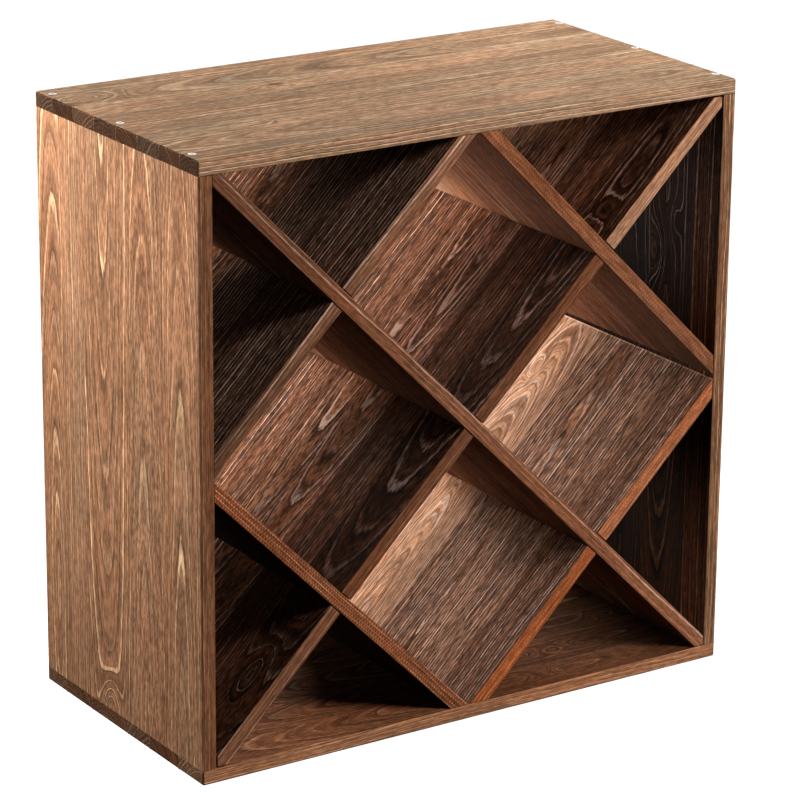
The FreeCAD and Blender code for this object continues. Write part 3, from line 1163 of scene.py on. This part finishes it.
def lattice_board(node, along, slot_side, steps, staves, first_seed, edge_tones, sawn=0.0, inside=PLAIN):
    """One board of the lattice, `steps` half-board offsets from the middle of the cabinet. The main boards
    cross three others, and the half boards one."""
    low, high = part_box(node)
    room_low, room_high = room_between_panels(low, high)
    rising = along.z > 0
    name = f"{node}_wood"
    piece = link_piece(name, bpy.data.meshes.new(name))
    run_tree(piece, slotted_board, {
        "Length": BOARD_LENGTH,
        "Depth": cabinet_size.y + OVERRUN,
        "Thickness": LATTICE_THICKNESS,
        "Slices": BOARD_SLICES,
        "Slot Count": 1 if steps else 3,
        "Slot Spacing": half_board_offset,
        "Slot Width": LATTICE_THICKNESS + SLOT_CLEARANCE * 2,
        "Slot Depth": cabinet_size.y,
        "Slot Middle": slot_side * (cabinet_size.y - SLOT_CLEARANCE) / 2,
        "Offset": half_board_offset * steps,
        "Tilt": math.radians(-45 if rising else 45),
        "Centre": cabinet_middle,
        "Room Centre": (room_low + room_high) / 2,
        "Room Size": room_high - room_low,
    })
    # The pale band on a rising board's upper tip is a painted highlight on the rubbed tip
    tip = along.dot(high - cabinet_middle) - TIP_BAND if rising else NO_TIP
    cut_board(piece, staves, cabinet_middle + along * tip, along)
    worn = ease_arrises(piece, LATTICE_EASING, lambda middle: LATTICE_EASING)
    wear_arrises(piece.data, worn, LATTICE_WEAR)
    directions = board_directions(along, (-1, 0, 1) if rising else (-1, 0, -1))
    mark_grain(piece.data, directions, staves, first_seed, worn, (edge_tones, sawn, inside, END_SHADE, tip))
    piece.data.materials.append(lattice_pine)
    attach(piece, "root")
    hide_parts(node)
    print(node, len(piece.data.polygons), "faces")


# The edge tones paint light onto the front edges: mostly lighter towards their right-hand ends, in steps
# along the board and in slopes
rising_main_tones = [
    (WHOLE_EDGE, 1.65, 0.2, 0.0, 0.8),
    (-205, 1.15, 0.7, 0.0, 0.7),
    (205, 3.9, -0.9, 0.0, 0.4),
]
rising_upper_tones = [(WHOLE_EDGE, 1.58, -0.3, 1.6, 0.6)]
rising_lower_tones = [(WHOLE_EDGE, 2.25, 2.2, 0.0, 0.15), (0, 3.0, 1.0, 0.0, 0.2)]
falling_main_tones = [(WHOLE_EDGE, 1.68, 0.5, 1.0, 0.5)]
falling_upper_tones = [(WHOLE_EDGE, 1.75, 0.6, 0.0, 0.1)]
falling_lower_tones = [(WHOLE_EDGE, 1.6, 1.6, 0.0, 0.6)]
rising_board = functools.partial(lattice_board, along=RISING, slot_side=FRONT)
falling_board = functools.partial(lattice_board, along=FALLING, slot_side=BACK)

rising_board("rising_board_main", steps=0, staves=rising_main_staves, first_seed=41,
             edge_tones=rising_main_tones)
rising_board("rising_board_upper_left", steps=1, staves=rising_upper_left_staves, first_seed=51,
             edge_tones=rising_upper_tones)
rising_board("rising_board_lower_right", steps=-1, staves=rising_lower_right_staves, first_seed=61,
             edge_tones=rising_lower_tones, sawn=0.3)
falling_board("falling_board_main", steps=0, staves=falling_main_staves, first_seed=71,
              edge_tones=falling_main_tones)
falling_board("falling_board_upper_right", steps=1, staves=falling_upper_staves, first_seed=81,
              edge_tones=falling_upper_tones, sawn=0.5)
# The lower left board's inward face is 3.5 times as light and a little redder, undoing the painted shade of
# its staves
falling_board("falling_board_lower_left", steps=-1, staves=falling_lower_staves, first_seed=91,
              edge_tones=falling_lower_tones, sawn=1.0, inside=(3.5, 0.5))

# %% [markdown]
# ## Screws
#
# Three bright countersunk screws hold each end of the top and of the bottom to the sides. Twelve
# copies of one shape are work for Geometry Nodes: the tree turns a head, neck and shank, cuts the
# cross recess, and sets the screw on every point that it is given, each turned by a random angle.

# %% Screws
RECESS_SPAN = 4.6 * MM
RECESS_WIDTH = 1.1 * MM
RECESS_DEPTH = 1.6 * MM
SCREW_SIDES = 40
FIRST_SCREW_SEED = 3
SCREW_SEED_STEP = 2
# The point's length, in radii of the shank
POINT_RADII = 3.0
BRIGHT_ZINC = (0.86, 0.87, 0.88, 1.0)
HAZY_ZINC = (0.66, 0.67, 0.69, 1.0)
ZINC_ROUGHNESS = (0.22, 0.42)
SCREW_INPUTS = {
    "NodeSocketGeometry": ("Geometry",),
    "NodeSocketFloat": (
        "Head Radius", "Shank Radius", "Length", "Rim", "Recess Span", "Recess Width", "Recess Depth", "Flip",
    ),
    "NodeSocketInt": ("Sides", "Seed"),
}


def zinc_material():
    """Zinc plate: bright, with a brushed haze and darker spots."""
    material, desk, surface = new_material("zinc_screw")
    place = desk.node("ShaderNodeTexCoord").outputs["Object"]
    haze = desk.noise(place, (900.0, 900.0, 900.0), 3.0, 0.6)[0]
    brushed = desk.noise(place, (3000.0, 300.0, 300.0), 2.0)[0]
    colour = desk.mix(desk.ramp(haze, 0.35, 0.7), BRIGHT_ZINC, HAZY_ZINC)
    desk.feed(surface["Base Color"], colour)
    surface["Metallic"].default_value = 1.0
    desk.feed(surface["Roughness"], desk.ramp(haze, 0.3, 0.7, *ZINC_ROUGHNESS))
    bump = desk.node("ShaderNodeBump", {"Strength": 0.3, "Distance": 0.05 * MM, "Height": brushed})
    desk.feed(surface["Normal"], bump.outputs[0])
    return material


zinc = zinc_material()


def screw_tree():
    tree = new_tree("countersunk_screws", SCREW_INPUTS)
    desk = NodeDesk(tree)
    given = desk.node("NodeGroupInput").outputs

    def turned(top_radius, bottom_radius, top, depth):
        """A cone that goes down from this height."""
        cone = desk.node("GeometryNodeMeshCone", {
            "Vertices": given["Sides"],
            "Radius Top": top_radius,
            "Radius Bottom": bottom_radius,
            "Depth": depth,
        })
        low = desk.join(0.0, 0.0, desk.sum("SUBTRACT", top, depth))
        placed = desk.node("GeometryNodeTransform", {"Geometry": cone.outputs[0], "Translation": low})
        return placed.outputs[0]

    overhang = desk.sum("SUBTRACT", given["Head Radius"], given["Shank Radius"])
    rim_top = desk.sum("MULTIPLY", given["Rim"], -1.0)
    neck_end = desk.sum("SUBTRACT", rim_top, overhang)
    point = desk.sum("MULTIPLY", given["Shank Radius"], POINT_RADII)
    shank_length = desk.sum("SUBTRACT", desk.sum("ADD", given["Length"], neck_end), point)
    point_top = desk.sum("SUBTRACT", neck_end, shank_length)
    parts = [
        turned(given["Head Radius"], given["Head Radius"], 0.0, given["Rim"]),
        turned(given["Head Radius"], given["Shank Radius"], rim_top, overhang),
        turned(given["Shank Radius"], given["Shank Radius"], neck_end, shank_length),
        turned(given["Shank Radius"], 0.0, point_top, point),
    ]
    screw = desk.node("GeometryNodeMeshBoolean", operation="UNION", solver="EXACT")
    for part in parts:
        desk.feed(screw.inputs["Mesh 2"], part)
    double_depth = desk.sum("MULTIPLY", given["Recess Depth"], 2.0)
    recessed = desk.node("GeometryNodeMeshBoolean", operation="DIFFERENCE", solver="EXACT")
    desk.feed(recessed.inputs["Mesh 1"], screw.outputs[0])
    for size in (
        desk.join(given["Recess Span"], given["Recess Width"], double_depth),
        desk.join(given["Recess Width"], given["Recess Span"], double_depth),
    ):
        desk.feed(recessed.inputs["Mesh 2"], desk.node("GeometryNodeMeshCube", {"Size": size}).outputs[0])
    turn = desk.node("FunctionNodeRandomValue", data_type="FLOAT")
    desk.feed(turn.inputs[2], 0.0)
    desk.feed(turn.inputs[3], math.pi)
    desk.feed(turn.inputs["Seed"], given["Seed"])
    rotation = desk.join(given["Flip"], 0.0, turn.outputs[1])
    placed = desk.node("GeometryNodeInstanceOnPoints", {
        "Points": given["Geometry"], "Instance": recessed.outputs[0], "Rotation": rotation,
    })
    real = desk.node("GeometryNodeRealizeInstances", {0: placed.outputs[0]})
    finished = desk.node("GeometryNodeSetMaterial", {"Geometry": real.outputs[0], "Material": zinc})
    desk.feed(desk.node("NodeGroupOutput").inputs[0], finished.outputs[0])
    return tree


screws = screw_tree()
print("tree", screws.name, len(screws.nodes), "nodes")

# %% Rows of screws


def screw_row(node, seed):
    """The three screws of one CAD node, in a line from the front to the back."""
    heads_up = node.startswith("top")
    piece = link_piece(f"{node}_zinc", bpy.data.meshes.new(node))
    piece.data.from_pydata(screw_places(node), [], [])
    run_tree(piece, screws, {
        "Head Radius": HEAD_DIAMETER / 2,
        "Shank Radius": SHANK_DIAMETER / 2,
        "Length": SCREW_LENGTH,
        "Rim": HEAD_RIM,
        "Recess Span": RECESS_SPAN,
        "Recess Width": RECESS_WIDTH,
        "Recess Depth": RECESS_DEPTH,
        "Sides": SCREW_SIDES,
        "Seed": seed,
        "Flip": 0.0 if heads_up else math.pi,
    })
    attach(piece, "root")
    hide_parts(node)
    print(node, len(piece.data.polygons), "faces")


for number, node in enumerate(SCREW_NODES):
    screw_row(node, FIRST_SCREW_SEED + SCREW_SEED_STEP * number)
